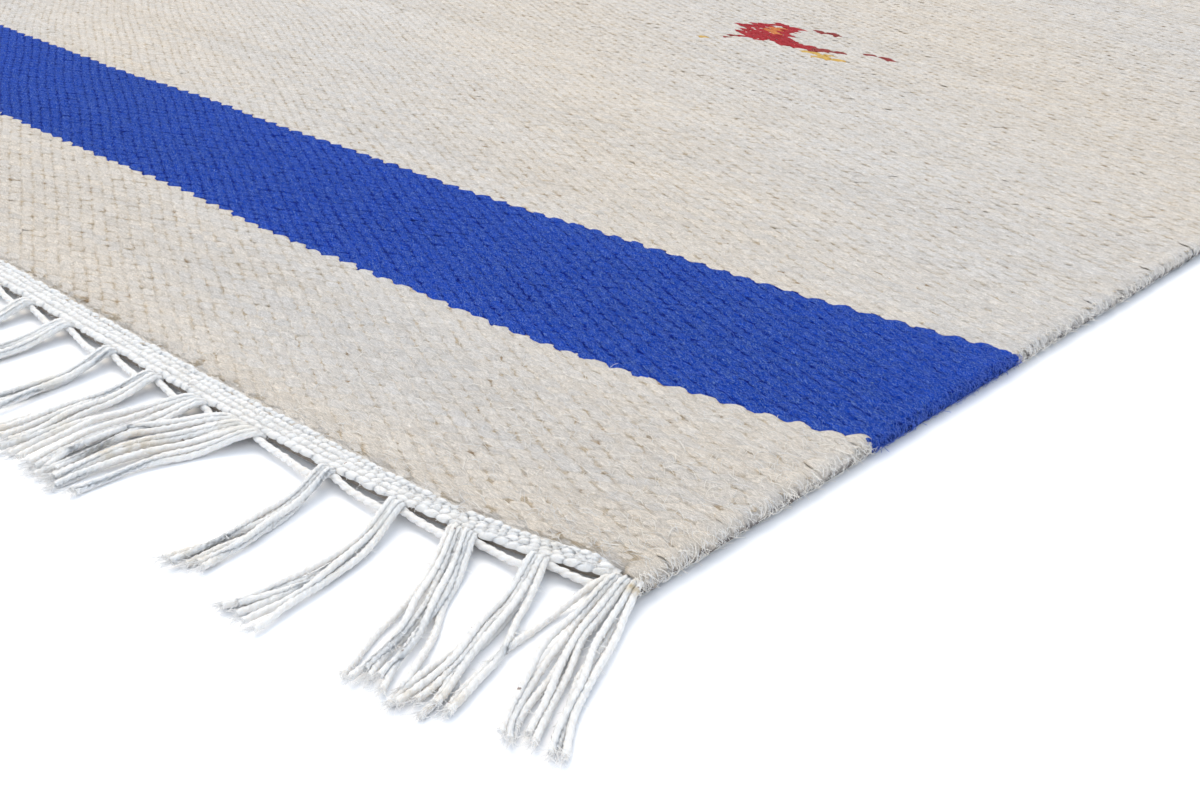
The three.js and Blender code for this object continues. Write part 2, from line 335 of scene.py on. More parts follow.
def selvedge_x(y, side):
    """Half the width of the rug here: tucked in at the corners, and wandering a little."""
    from_end = half_length - np.abs(y)
    tuck = np.exp(-np.maximum(from_end, 0) / 12)
    return half_width - tuck + 0.35 * (np.cos(2 * np.pi * from_end / 310 + side) - 1)


def layout_of(x, y, z, turn, colour):
    """Points with a place, a turn and a colour, on which shapes are put later."""
    return {
        "place": np.stack(np.broadcast_arrays(x, y, z), axis=1),
        "turn": turn,
        "wool": np.concatenate([colour, np.ones((len(x), 1))], axis=1),
    }


def joined(layouts):
    """Several layouts as one."""
    return {key: np.concatenate([layout[key] for layout in layouts]) for key in layouts[0]}


def lay_floats(x_range, end, from_end_range):
    """Places, turns and colours of the floats of one field of the rug."""
    columns = np.arange(round(2 * half_width / warp_pitch))
    pick_count = round(half_length / pick_pitch)
    picks = np.arange(-1, pick_count)  # the first one is half hidden under the band
    column, pick = (a.ravel() for a in np.meshgrid(columns, picks, indexing="ij"))
    keep = (column + pick) % 2 == 0
    column, pick = column[keep], pick[keep]
    share = 2 * (column + 0.5) / len(columns) - 1
    from_end = np.maximum((pick + 0.5) * half_length / pick_count, 0.1)
    x = share * (half_width - edge_room) + 0.22 * uneven(column, 1) + 0.12 * uneven(column + 31 * pick, 2)
    inside = (x > x_range[0]) & (x <= x_range[1])
    inside &= (from_end > from_end_range[0]) & (from_end <= from_end_range[1])
    column, pick, from_end, x = column[inside], pick[inside], from_end[inside], x[inside]
    y = weft_y(x, from_end, end)
    step = 1.0
    turn = np.arctan2(weft_y(x + step, from_end, end) - weft_y(x - step, from_end, end), 2 * step)
    colour = wool_at(x, y, from_end, column, pick + (end + 1) * 1000)
    jitter = 0.14 * uneven(pick * 5 + column * 3, 12)
    height = float_lift + 0.08 * uneven(pick + column * 17, 14) + 0.05 * np.sin(x / 27) * np.cos(y / 35)
    height = height - first_pick_sinks * (1 - smooth_step(from_end, 0, 2.4))
    turn = turn + math.radians(-4) + 0.06 * uneven(pick * 11 + column, 15)
    return layout_of(x, y + jitter, height, turn, colour)


print("floats on one half:", len(lay_floats((-300, 300), -1, (0, 450))["turn"]))

# %% [markdown]
# ## The shape of one float
#
# A float is the bit of weft that shows between two warps: a fat oval that is highest in the middle and dives
# at both ends, where its neighbours lie over it. It is a small grid bent into that shape. Close to the
# camera it has more faces than far away. Each point also stores how high up it lies, from 0 to 1, so that
# the material can darken the hollows.

# %% Bend a grid into a float
float_length = 7.7
float_width = 4.25
float_height = 0.62
fullness = 2.2  # 2 is a round back, and more a flatter and fuller one


def triangles(mesh):
    return sum(len(face.vertices) - 2 for face in mesh.polygons)


def new_mesh(name, points, edges=(), faces=()):
    """A mesh of points that are given in millimetres."""
    mesh = bpy.data.meshes.new(name)
    mesh.from_pydata((points * MM).tolist(), edges, faces)
    return mesh


def new_object(name, mesh):
    made = bpy.data.objects.new(name, mesh)
    scene.collection.objects.link(made)
    return made


def set_attribute(mesh, name, kind, domain, values):
    layer = mesh.attributes.new(name, kind, domain)
    key = {"FLOAT": "value", "FLOAT_COLOR": "color", "FLOAT_VECTOR": "vector"}[kind]
    layer.data.foreach_set(key, np.ascontiguousarray(values, dtype=np.float32).ravel())


def grid_faces(along, across):
    row = across + 1
    firsts = [i * row + j for i in range(along) for j in range(across)]
    return [(a, a + row, a + row + 1, a + 1) for a in firsts]


def mapped_object(name, points, faces, flat_map, crown):
    """An object with a map in millimetres, and with how high up each of its points lies."""
    mesh = new_mesh(name, points, faces=faces)
    corners = [i for face in faces for i in face]
    layer = mesh.uv_layers.new(name="UVMap")
    layer.data.foreach_set("uv", flat_map[corners].astype(np.float32).ravel())
    set_attribute(mesh, "crown", "FLOAT", "POINT", crown)
    return new_object(name, mesh)


def pillow(name, length, width, height, along, across, slant=0.0, rim=0.0):
    """A pointed oval on a grid of this many faces, with its rim at this share of the height."""
    u, v = np.meshgrid(np.linspace(-1, 1, along + 1), np.linspace(-1, 1, across + 1), indexing="ij")
    tip = 0.08
    waist = tip + (1 - tip) * np.clip(1 - np.abs(u) ** 1.7, 0, 1) ** 0.85
    rise = (1 - np.abs(u) ** fullness) * (1 - np.abs(v) ** fullness)
    rise = rise - slant * u * v * (1 - u * u) * (1 - v * v)
    level = rim + (1 - rim) * rise
    points = np.stack([u * length / 2, v * waist * width / 2, level * height], axis=-1).reshape(-1, 3)
    return mapped_object(name, points, grid_faces(along, across), points[:, :2], rise.ravel())


def roof(name, length, width, height, rim):
    """A float of eight triangles, for the parts of the rug that are far from the camera."""
    outline = [(1, 0), (0.5, 0.8), (-0.5, 0.8), (-1, 0), (-0.5, -0.8), (0.5, -0.8)]
    points = [(x * length / 2, y * width / 2, rim * height) for x, y in outline]
    points += [(-0.22 * length, 0, height), (0.22 * length, 0, height)]
    points = np.array(points)
    faces = [(1, 2, 6, 7), (4, 5, 7, 6), (0, 1, 7), (0, 7, 5), (2, 3, 6), (3, 4, 6)]
    return mapped_object(name, points, faces, points[:, :2], [0.1] * 6 + [0.72] * 2)


float_size = (float_length, float_width, float_height)
fine_float = pillow("fine_float", *float_size, 8, 4, slant=0.5)
middle_float = pillow("middle_float", *float_size, 4, 2, rim=0.40)
plain_float = roof("plain_float", *float_size, rim=0.42)
print("faces:", [len(o.data.polygons) for o in (fine_float, middle_float, plain_float)])

# %% [markdown]
# ## Geometry Nodes weave the field
#
# Thousands of alike floats are what Geometry Nodes are for. The tree takes a cloud of points, puts one float
# on each, turns it as its point says, varies its size a little with a fixed seed, and ends in Realize
# Instances and Set Material, so that the result is a plain mesh. Values go into the modifier by the socket's
# identifier, before the object is first evaluated.

# %% Build the tree that puts floats on points
def math_node(tree, operation, first, second=0.0):
    return add_node(tree, "ShaderNodeMath", {0: first, 1: second}, operation=operation).outputs[0]


def product(tree, first, second):
    return math_node(tree, "MULTIPLY", first, second)


def vector_node(tree, operation, first, second):
    return add_node(tree, "ShaderNodeVectorMath", {0: first, 1: second}, operation=operation).outputs[0]


def times(tree, vector, factor):
    """A colour or a vector multiplied by a number."""
    inputs = {0: vector, "Scale": factor}
    return add_node(tree, "ShaderNodeVectorMath", inputs, operation="SCALE").outputs[0]


def combined(tree, **parts):
    return add_node(tree, "ShaderNodeCombineXYZ", parts).outputs[0]


def parts_of(tree, vector):
    """The three numbers of a vector or a colour."""
    return add_node(tree, "ShaderNodeSeparateXYZ", {0: vector}).outputs


def named(tree, name):
    """The number that each point carries under this name."""
    made = add_node(tree, "GeometryNodeInputNamedAttribute", {"Name": name}, data_type="FLOAT")
    return made.outputs["Attribute"]


def store(tree, geometry, name, value, domain="POINT", kind="FLOAT"):
    """Gives a shape a number of this name."""
    inputs = {"Geometry": geometry, "Name": name, "Value": value}
    made = add_node(tree, "GeometryNodeStoreNamedAttribute", inputs, data_type=kind, domain=domain)
    return made.outputs[0]


def pushes(tree, at, amount, **settings):
    """Small pushes along all axes, from noise at these places."""
    lumps = add_node(tree, "ShaderNodeTexNoise", {"Vector": at, **settings}).outputs["Color"]
    return times(tree, vector_node(tree, "SUBTRACT", lumps, (0.5, 0.5, 0.5)), amount)


def start_tree(name, inputs):
    """A tree with a mesh coming in and going out, and these named inputs as well."""
    tree = bpy.data.node_groups.new(name, "GeometryNodeTree")
    tree.interface.new_socket("Layout", in_out="INPUT", socket_type="NodeSocketGeometry")
    for label, kind, value in inputs:
        socket = tree.interface.new_socket(label, in_out="INPUT", socket_type="NodeSocket" + kind)
        if value is not None:
            socket.default_value = value
    tree.interface.new_socket("Mesh", in_out="OUTPUT", socket_type="NodeSocketGeometry")
    return tree, tree.nodes.new("NodeGroupInput"), tree.nodes.new("NodeGroupOutput")


def finish_tree(tree, group_in, group_out, instances, offset):
    """Makes plain shapes of the instances, roughens them and gives them their material."""
    shape = add_node(tree, "GeometryNodeRealizeInstances", {"Geometry": instances}).outputs[0]
    rough = add_node(tree, "GeometryNodeSetPosition", {"Geometry": shape, "Offset": offset}).outputs[0]
    inputs = {"Geometry": rough, "Material": group_in.outputs["Material"]}
    painted = add_node(tree, "GeometryNodeSetMaterial", inputs)
    tree.links.new(painted.outputs[0], group_out.inputs["Mesh"])


def grow(name, layout, tree, values):
    """Runs a tree on a layout mesh and keeps the result as a plain mesh."""
    holder = new_object(name + "_layout", layout)
    modifier = holder.modifiers.new("grow", "NODES")
    modifier.node_group = tree
    for label, value in values.items():
        modifier[tree.interface.items_tree[label].identifier] = value
    depsgraph = bpy.context.evaluated_depsgraph_get()
    evaluated = holder.evaluated_get(depsgraph)
    mesh = bpy.data.meshes.new_from_object(evaluated, preserve_all_data_layers=True, depsgraph=depsgraph)
    holder.modifiers.remove(modifier)
    bpy.data.objects.remove(holder)
    mesh.name = name
    mesh.polygons.foreach_set("use_smooth", [True] * len(mesh.polygons))
    print(name, "has", triangles(mesh), "triangles")
    return new_object(name, mesh)


def points_mesh(name, layout):
    """A layout as loose points that carry its numbers."""
    mesh = new_mesh(name, layout["place"])
    set_attribute(mesh, "turn", "FLOAT", "POINT", layout["turn"])
    set_attribute(mesh, "wool", "FLOAT_COLOR", "POINT", layout["wool"])
    set_attribute(mesh, "longer", "FLOAT", "POINT", layout.get("longer", np.ones(len(layout["turn"]))))
    return mesh


def float_tree():
    inputs = [
        ("Float", "Object", None),
        ("Size spread", "Float", 0.1),
        ("Seed", "Int", 7),
        ("Unevenness", "Float", 0.9 * MM),
        ("Material", "Material", None),
    ]
    tree, group_in, group_out = start_tree("put_floats_on_points", inputs)
    shape = add_node(tree, "GeometryNodeObjectInfo", {"Object": group_in.outputs["Float"]})
    spread = group_in.outputs["Size spread"]
    seed = group_in.outputs["Seed"]
    smallest = math_node(tree, "SUBTRACT", 1.0, spread)
    largest = math_node(tree, "ADD", 1.0, spread)
    sizes = []
    for axis in range(3):
        own_seed = math_node(tree, "ADD", seed, float(axis))
        inputs = {"Min": smallest, "Max": largest, "Seed": own_seed}
        sizes.append(add_node(tree, "FunctionNodeRandomValue", inputs, data_type="FLOAT").outputs[1])
    length = product(tree, sizes[0], named(tree, "longer"))
    inputs = {
        "Points": group_in.outputs["Layout"],
        "Instance": shape.outputs["Geometry"],
        "Rotation": combined(tree, Z=named(tree, "turn")),
        "Scale": combined(tree, X=length, Y=sizes[1], Z=sizes[2]),
    }
    placed = add_node(tree, "GeometryNodeInstanceOnPoints", inputs)
    chance = add_node(tree, "FunctionNodeRandomValue", {"Seed": seed}, data_type="FLOAT").outputs[1]
    marked = store(tree, placed.outputs[0], "chance", chance, "INSTANCE")
    at = add_node(tree, "GeometryNodeInputPosition").outputs[0]
    moved = vector_node(tree, "ADD", at, named(tree, "chance"))
    offset = pushes(tree, moved, group_in.outputs["Unevenness"], Scale=430.0, Detail=1.0)
    finish_tree(tree, group_in, group_out, marked, offset)
    return tree


put_floats = float_tree()
print("tree inputs:", [s.name for s in put_floats.interface.items_tree if s.in_out == "INPUT"])

# %% [markdown]
# ## Wool
#
# Hand-spun wool is matt and fibrous. The material starts from the colour that each float carries, with
# streaks along its own yarn, which read the float's map, moved by its own number so that no two are alike.
# Over that lies a fleece of finer fibres: streaks, pale fuzz and, in natural wool, a few tan ones. The pale
# fuzz is partly paler fibres and partly painted sheen. The fleece reads the rug's own coordinates and so runs
# on from float to float, as real fuzz does, and it drives the bump as well. The hollows between the floats get
# painted shade, deeper in some places than in others. At the floor, where hardly any light gets in under the
# edge, the wool has a ragged dark foot of painted shade.

# %% Mix the wool material
def attribute(tree, name, output="Fac"):
    return add_node(tree, "ShaderNodeAttribute", attribute_name=name).outputs[output]


def place_on_rug(tree):
    return add_node(tree, "ShaderNodeTexCoord").outputs["Object"]


def mix_colours(tree, share, first, second, mode="MIX"):
    inputs = {0: share, 6: first, 7: second}  # a mix of colours has its inputs there
    return add_node(tree, "ShaderNodeMix", inputs, data_type="RGBA", blend_type=mode).outputs[2]


def remap(tree, value, low, high, new_low=0.0, new_high=1.0):
    inputs = {"Value": value, "From Min": low, "From Max": high, "To Min": new_low, "To Max": new_high}
    return add_node(tree, "ShaderNodeMapRange", inputs).outputs[0]


def noise(tree, vector, scale, detail=2.0, roughness=0.55, distortion=0.0):
    shape = {"Scale": scale, "Detail": detail, "Roughness": roughness, "Distortion": distortion}
    return add_node(tree, "ShaderNodeTexNoise", {"Vector": vector, **shape}).outputs["Fac"]


def fibrous(tree, vector, size, turn, *shape):
    """Noise drawn out into fibres of this length and width, along an axis turned by this many degrees."""
    inputs = {"Vector": vector, "Rotation": (0, 0, math.radians(turn)), "Scale": size}
    at = add_node(tree, "ShaderNodeMapping", inputs, vector_type="TEXTURE").outputs[0]
    return noise(tree, at, 1.0, *shape)


def undyed(tree, dye):
    """1 for natural wool, 0 for blue wool."""
    red, _, blue = parts_of(tree, dye)
    return remap(tree, math_node(tree, "SUBTRACT", blue, red), 0.0, 0.25, 1.0, 0.0)


def fleece(tree, dyed, place):
    """Wool fibres over the whole cloth: streaks, pale fuzz and tan fibres. Gives a colour and a height.

    The pale fuzz is partly paler fibres and partly painted sheen. On blue wool the streaks are stronger, the
    pale fibres fewer but bolder, and none is tan.
    """
    natural = undyed(tree, dyed)
    coarse = fibrous(tree, place, (2.4 * MM, 0.38 * MM, 0.6 * MM), -3, 4.0, 0.72, 2.0)
    stronger_in_blue = remap(tree, natural, 0.0, 1.0, 1.7, 1.0)
    streaks = math_node(tree, "POWER", remap(tree, coarse, 0.34, 0.66, 0.70, 1.20), stronger_in_blue)
    colour = times(tree, dyed, streaks)
    fuzz = fibrous(tree, place, (1.7 * MM, 0.28 * MM, 0.5 * MM), -26, 3.0, 0.65, 2.4)
    # Pale fibres with painted sheen: the wool a fifth brighter, mixed with a pale fibre colour, more in blue.
    pale_fibre_sheen = remap(tree, natural, 0.0, 1.0, 0.25, 0.09)
    sheen_fibre_colour = mix_colours(tree, natural, (0.60, 0.82, 0.86, 1), (0.80, 0.79, 0.79, 1))
    pale_fibre_sheen = mix_colours(tree, pale_fibre_sheen, times(tree, colour, 1.20), sheen_fibre_colour)
    rarer_in_blue = remap(tree, natural, 0.0, 1.0, 1.9, 1.0)
    pale = math_node(tree, "POWER", remap(tree, fuzz, 0.47, 0.63), rarer_in_blue)
    colour = mix_colours(tree, pale, colour, pale_fibre_sheen)
    stray = fibrous(tree, place, (1.6 * MM, 0.34 * MM, 0.5 * MM), 24, 2.0, 0.5, 1.6)
    tan = mix_colours(tree, 1.0, colour, (0.86, 0.77, 0.64, 1), "MULTIPLY")
    most = product(tree, natural, 0.55)
    colour = mix_colours(tree, remap(tree, stray, 0.58, 0.72, 0.0, most), colour, tan)
    return colour, math_node(tree, "ADD", coarse, fuzz)


def with_painted_hollow_shade(tree, colour, dye, low, place):
    """Adds painted shade where the yarn is low: browner in natural wool, with a few darker spots."""
    natural = undyed(tree, dye)
    hollow_shade_colour = add_node(tree, "ShaderNodeGamma", {"Color": colour, "Gamma": 1.45}).outputs[0]
    tint = mix_colours(tree, natural, (0.40, 0.62, 0.74, 1), (0.86, 0.79, 0.67, 1))
    hollow_shade_colour = mix_colours(tree, 1.0, hollow_shade_colour, tint, "MULTIPLY")
    spots = product(tree, remap(tree, noise(tree, place, 170.0, 2.0), 0.58, 0.68), natural)
    hollow_shade_colour = mix_colours(tree, spots, hollow_shade_colour, (0.62, 0.52, 0.40, 1), "MULTIPLY")
    least = remap(tree, natural, 0.0, 1.0, 0.5, 0.14)
    patchy = remap(tree, noise(tree, place, 260.0, 3.0, 0.6), 0.45, 0.62, least, 1.0)
    return mix_colours(tree, product(tree, low, patchy), colour, hollow_shade_colour)


def surface(tree, shader, colour, height, strength, distance, roughness, specular):
    """Gives a shader its colour, its bump and its matt finish."""
    fill(tree, shader, {"Base Color": colour, "Roughness": roughness, "Specular IOR Level": specular})
    bump = {"Height": height, "Strength": strength, "Distance": distance * MM}
    fill(tree, shader, {"Normal": add_node(tree, "ShaderNodeBump", bump).outputs[0]})


ragged_by = 4.6  # how far the dark foot climbs where it is highest
foot_full_at = -0.35
foot_ends_at = 0.95


def wool_material():
    material, tree, shader = new_material("wool")
    yarn_map = add_node(tree, "ShaderNodeUVMap", uv_map="UVMap").outputs[0]
    chance = attribute(tree, "chance")
    dyed = attribute(tree, "wool", "Color")
    shift = combined(tree, X=chance, Y=chance, Z=chance)
    own = vector_node(tree, "ADD", yarn_map, vector_node(tree, "MULTIPLY", shift, (170.0, 59.0, 83.0)))
    place = place_on_rug(tree)

    streaks = fibrous(tree, own, (2.4, 0.5, 1.0), -6, 3.0, 0.65, 0.8)
    colour, fibres = fleece(tree, times(tree, dyed, remap(tree, streaks, 0.35, 0.65, 0.88, 1.08)), place)
    # Painted shade in the hollows: the lower a point lies on its float, the more it gets.
    low = remap(tree, attribute(tree, "crown"), 0.10, 0.58, 1.0, 0.0)
    colour = with_painted_hollow_shade(tree, colour, dyed, low, place)

    height = parts_of(tree, place)[2]
    ragged = product(tree, noise(tree, place, 380.0, 3.0, 0.6), ragged_by * MM)
    height = math_node(tree, "SUBTRACT", height, ragged)
    foot = remap(tree, height, foot_full_at * MM, foot_ends_at * MM, 1.0, 0.0)
    shaded = mix_colours(tree, 1.0, colour, (0.32, 0.31, 0.33, 1), "MULTIPLY")
    colour = mix_colours(tree, foot, colour, shaded)
    surface(tree, shader, colour, math_node(tree, "ADD", fibres, streaks), 0.8, 0.45, 0.95, 0.05)
    return material


wool = wool_material()
print("wool nodes:", len(wool.node_tree.nodes))

# %% [markdown]
# ## Weave the field in four pieces
#
# One mesh should stay under 200,000 triangles, so the field is made in pieces: the corner nearest to the
# camera with the finest floats, the rest of the near part with plainer ones, and the remainder of the rug
# with floats of eight triangles, which look the same from there.

# %% Put the floats on the rug
def weave(name, shape, fields):
    """Floats of one shape on these fields, each given by its reach in x, its end and its reach from it."""
    layout = joined([lay_floats(*field) for field in fields])
    values = {"Float": shape, "Size spread": 0.08, "Seed": 7, "Material": wool}
    return grow(name, points_mesh(name, layout), put_floats, values)


edge = 300
corner_x = edge - 150
near_x = -225
corner_end = 160
near_end = 270
near_end_at_edge = near_end + 60
far = half_length + 1
corner_fields = [((corner_x, edge), -1, (0, corner_end))]
near_fields = [
    ((corner_x, edge), -1, (corner_end, near_end_at_edge)),
    ((near_x, corner_x), -1, (0, near_end)),
]
rest_fields = [
    ((-edge, near_x), -1, (0, far)),
    ((near_x, corner_x), -1, (near_end, far)),
    ((corner_x, edge), -1, (near_end_at_edge, far)),
]
field_corner = weave("weave_corner", fine_float, corner_fields)
field_near = weave("weave_near", middle_float, near_fields)
field_rest = weave("weave_rest", plain_float, rest_fields)
field_far = weave("weave_far", plain_float, [((-edge, edge), 1, (0, far))])
for template in (fine_float, middle_float, plain_float):
    bpy.data.objects.remove(template)

# %% [markdown]
# ## The cloth beneath the floats
#
# The floats are shells. Beneath them lies the body of the cloth, a closed sheet with rounded selvedges that
# is a little lower and narrower than the imported panel. It is laid out on the same wefts as the floats and
# remembers for each of its points the warp and the pick it lies on. On the underside, which rests on the
# floor, the material draws the weave from those two numbers instead of from real floats, as a bump with
# painted shade between the floats. Above, where it shows only in the gaps between the floats, it has the
# same fleece and the painted shade of a hollow. Its side just above the floor, under the turns, gets dark
# painted shade.

# %% Build the body of the cloth
body_inset = 0.9  # from the selvedge
body_height = float_lift + 0.22
side_steps = 4


def sheet_ring(from_end, end, steps):
    """One section across the rug, around the cloth, with the warp number of each point."""
    flat = half_width - body_inset - body_height / 2
    top = np.linspace(-flat, flat, steps)
    angle = np.linspace(math.pi / 2, -math.pi / 2, side_steps + 2)[1:-1]
    side_x = flat + np.cos(angle) * body_height / 2
    side_z = body_height / 2 + np.sin(angle) * body_height / 2
    x = np.concatenate([top, side_x, top[::-1], -side_x[::-1]])
    z = np.concatenate([np.full(steps, body_height), side_z, np.zeros(steps), side_z[::-1]])
    warp = (x / half_width + 1) * half_width / warp_pitch
    return np.stack([x, weft_y(x, from_end, end), z], axis=1), warp


def ring_faces(rings, count):
    """Faces around a tube whose rings have this many points."""
    faces = []
    for i in range(rings - 1):
        for j in range(count):
            a, b = i * count + j, i * count + (j + 1) % count
            faces.append((a, b, b + count, a + count))
    return faces


def sheet_mesh(name, steps, rows):
    from_ends = np.concatenate([[-0.2, 4.0], np.linspace(10, half_length - 8, rows)])
    stations = [(f, -1) for f in from_ends] + [(half_length, -1)] + [(f, 1) for f in from_ends[::-1]]
    rings = [sheet_ring(f, end, steps) for f, end in stations]
    count = len(rings[0][0])
    faces = ring_faces(len(rings), count)
    under = steps + side_steps
    cap = [(j, under + steps - 1 - j, under + steps - 2 - j, j + 1) for j in range(steps - 1)]
    cap.append(tuple(range(under, steps - 2, -1)))
    cap.append((0,) + tuple(range(count - 1, under + steps - 2, -1)))
    last = (len(rings) - 1) * count
    faces += cap
    faces += [tuple(last + i for i in face[::-1]) for face in cap]
    mesh = new_mesh(name, np.concatenate([ring for ring, _ in rings]), faces=faces)
    weft = [
        np.stack([warp, np.full(count, f / pick_pitch), np.full(count, float(end))], axis=1)
        for (_, warp), (f, end) in zip(rings, stations)
    ]
    set_attribute(mesh, "weft", "FLOAT_VECTOR", "POINT", np.concatenate(weft))
    mesh.polygons.foreach_set("use_smooth", [True] * len(mesh.polygons))
    return mesh


def under_weave_material():
    material, tree, shader = new_material("wool_body")
    weft = attribute(tree, "weft", "Vector")
    warp, pick, _ = parts_of(tree, weft)
    place = place_on_rug(tree)
    odd = product(tree, math_node(tree, "FLOOR", warp), 0.5)
    half_pick = math_node(tree, "ADD", product(tree, pick, 0.5), odd)
    across = math_node(tree, "PINGPONG", math_node(tree, "FRACT", half_pick), 0.5)
    along = math_node(tree, "PINGPONG", math_node(tree, "FRACT", warp), 0.5)
    height = product(tree, remap(tree, across, 0.0, 0.4), remap(tree, along, 0.0, 0.35))
    past_start = math_node(tree, "GREATER_THAN", pick, stripe_from / pick_pitch)
    before_end = math_node(tree, "LESS_THAN", pick, stripe_to / pick_pitch)
    blue = product(tree, past_start, before_end)
    colour = mix_colours(tree, blue, (*WOOL["natural"], 1), (*WOOL["blue"], 1))
    height_over_floor = parts_of(tree, place)[2]
    on_top = math_node(tree, "GREATER_THAN", height_over_floor, (body_height - 0.1) * MM)
    fleecy, fibres = fleece(tree, colour, place)
    # On top it shows only between the floats, so all of it gets the painted shade of a hollow.
    colour = with_painted_hollow_shade(tree, fleecy, colour, on_top, place)
    # Painted shade on the side of the body just above the floor, under the turns.
    above_floor = math_node(tree, "GREATER_THAN", height_over_floor, 0.04 * MM)
    below_edge = remap(tree, height_over_floor, 0.9 * MM, 1.9 * MM, 1.0, 0.0)
    in_shade = product(tree, above_floor, below_edge)
    colour = mix_colours(tree, in_shade, colour, times(tree, colour, 0.24))
    # Painted shade between the floats of the weave drawn on the underside.
    drawn_weave_shade = remap(tree, height, 0.0, 1.0, 0.70, 1.0)
    shade = mix_colours(tree, on_top, drawn_weave_shade, (1, 1, 1, 1))
    height = math_node(tree, "ADD", height, product(tree, fibres, 0.5))
    surface(tree, shader, times(tree, colour, shade), height, 0.8, 1.0, 0.95, 0.05)
    return material


cloth = new_object("cloth_body", sheet_mesh("cloth_body", 61, 44))
cloth.data.materials.append(under_weave_material())
print("cloth_body has", triangles(cloth.data), "triangles")

# %% [markdown]
# ## Selvedges
#
# At the side of the rug every weft turns around the last warp and goes back as the next pick. There is no
# binding: the turns themselves are the edge, a row of small soft knuckles. Each is a float bent around the
# edge, from the upper face to the floor, placed by the same tree as the floats. Around each corner of the
# cloth, where the last picks end, three of them are fanned out.

# %% Wrap the wefts around the last warp
def knuckle(name, along, across):
    """A float bent around the edge. It points along +X from its centre, with millimetres as its map."""
    core = 2.2  # radius of the turn
    flat = 2.6  # length that lies on the upper face
    arc = math.radians(142) * core
    u, v = np.meshgrid(np.linspace(0, 1, along + 1), np.linspace(-1, 1, across + 1), indexing="ij")
    run = u * (flat + arc)
    angle = math.pi / 2 - np.maximum(run - flat, 0) / core
    waist = 0.10 + 0.90 * np.clip(1 - np.abs(1 - 2.4 * np.minimum(u, 1 - u)).clip(0, 1) ** 2.1, 0, 1) ** 0.7
    rise = (1 - np.abs(v) ** fullness) * smooth_step(np.minimum(u * 1.3, 1 - u), -0.05, 0.32)
    reach = core + 0.24 * rise
    x = np.cos(angle) * reach - np.maximum(flat - run, 0)
    z = np.sin(angle) * reach
    y = v * waist * 2.35 + (u - 0.3) * pick_pitch * 0.8
    points = np.stack([x, y, z], axis=-1).reshape(-1, 3)
    flat_map = np.stack([run, v * 2], axis=-1).reshape(-1, 2)
    return mapped_object(name, points, grid_faces(along, across), flat_map, 0.25 + 0.75 * rise.ravel())


def lay_turns(end, side):
    """The turns along one half of a selvedge. The wefts turn there at every second pick."""
    picks = round(half_length / pick_pitch)
    number = np.arange(picks // 2)
    from_end = (2 * number + (0.5 if side > 0 else 1.5)) * half_length / picks
    rough_y = weft_y(np.full(len(from_end), last_warp_x), from_end, end)
    x = side * (selvedge_x(rough_y, side) - 2.5 - 0.15 * (1 + uneven(number, 21 + side)))
    y = weft_y(x, from_end, end)
    colour = wool_at(x, y, from_end, np.full(len(x), 160), number * 2)
    heading = (0 if side > 0 else math.pi) + 0.13 * uneven(number, 25)
    return layout_of(x, y, panel_top / 2 + 0.24 * uneven(number, 23), heading, colour)


def lay_corner(end, side):
    """Three turns fanned around a corner of the cloth."""
    fan = np.radians([38.0, 76.0, 112.0])
    centre_x = side * (half_width - 3.6)
    centre_y = float(weft_y(centre_x, 0, end)) - end * 1.6
    heading = fan * end if side > 0 else math.pi - fan * end
    colour = wool_at(centre_x + fan, centre_y + fan, fan * 0, np.arange(3), np.arange(3))
    x = centre_x + 0.4 * np.cos(heading)
    y = centre_y + 0.2 * np.sin(heading)
    return layout_of(x, y, panel_top / 2 - 0.1, heading, colour)


knuckle_shape = knuckle("knuckle", 9, 4)
quarters = [(end, side) for end in (-1, 1) for side in (-1, 1)]
turns = [lay_turns(*quarter) for quarter in quarters] + [lay_corner(*quarter) for quarter in quarters]
values = {"Float": knuckle_shape, "Size spread": 0.035, "Seed": 11, "Material": wool}
selvedges = grow("selvedge_turns", points_mesh("selvedge_turns", joined(turns)), put_floats, values)
bpy.data.objects.remove(knuckle_shape)

# %% [markdown]
# ## Cotton
#
# The bands and the fringe are bleached cotton, cooler and smoother than the wool. Fibre streaks run with the
# twist, the grooves between the plies get a warm grey painted shade, and here and there a yellowed patch, a
# speck of seed husk or a tan stain shows. The outer side of a band's core, behind the cord, gets dark painted
# shade. Light passes a little way into the yarns, which keeps their shadows soft.

